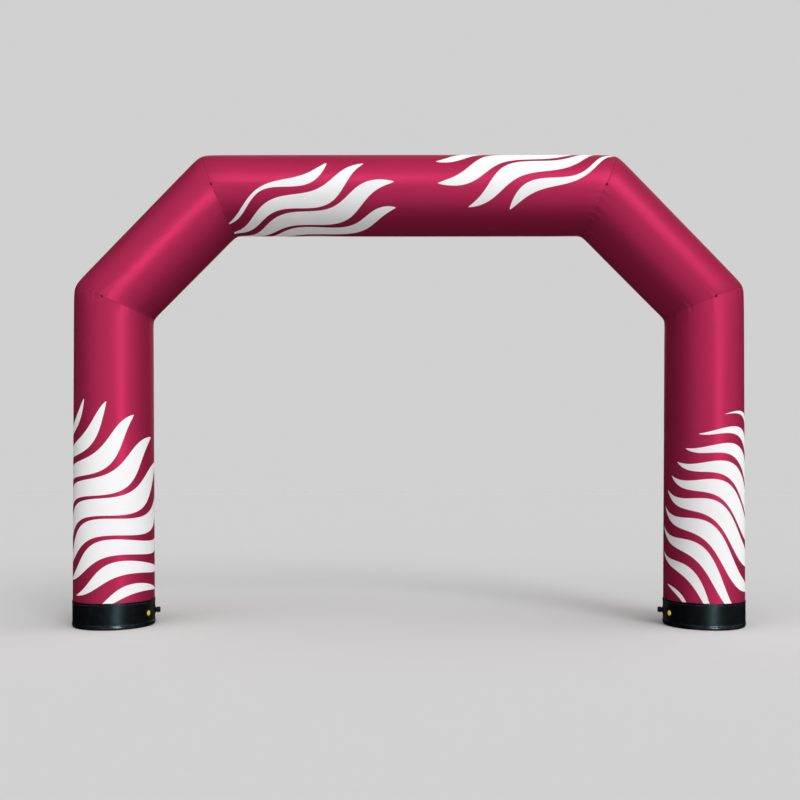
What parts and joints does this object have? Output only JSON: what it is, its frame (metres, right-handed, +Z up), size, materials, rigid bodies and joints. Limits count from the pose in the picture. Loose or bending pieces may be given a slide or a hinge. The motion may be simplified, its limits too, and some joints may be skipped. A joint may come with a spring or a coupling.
{
  "type": "inflatable arch",
  "caption": "Free-standing inflatable event arch: crimson cloth tubes with a white ribbon print, mitred at the shoulders, on black coated cuffs with inflation valves.",
  "frame": {"origin": "on the ground, midway between the legs, at the middle of the arch's depth", "axes": "+X to the right seen from the front, +Y to the back, +Z up"},
  "size_m": [6, 0.7156, 4.19],
  "materials": {
    "cover": "satin coated polyester, printed with a plain white ribbon design",
    "cuff": "semi-gloss coated cloth",
    "fitting": "satin moulded plastic",
    "plug": "satin moulded plastic",
    "webbing": "woven webbing",
    "stud": "satin moulded plastic"
  },
  "bodies": {
    "root": {"beam_cover": "cover", "leg_cover_left": "cover", "shoulder_cover_left": "cover", "base_cuff_left": "cuff", "inflation_valve_left": "fitting", "inflation_cap_left": "fitting", "relief_seat_left": "fitting", "relief_plug_left": "plug", "pull_tab_left": "webbing", "tie_stud_lower_left": "stud", "tie_stud_upper_left": "stud", "leg_cover_right": "cover", "shoulder_cover_right": "cover", "base_cuff_right": "cuff", "inflation_valve_right": "fitting", "inflation_cap_right": "fitting", "relief_seat_right": "fitting", "relief_plug_right": "plug", "pull_tab_right": "webbing", "tie_stud_lower_right": "stud", "tie_stud_upper_right": "stud"}
  },
  "joints": []
}
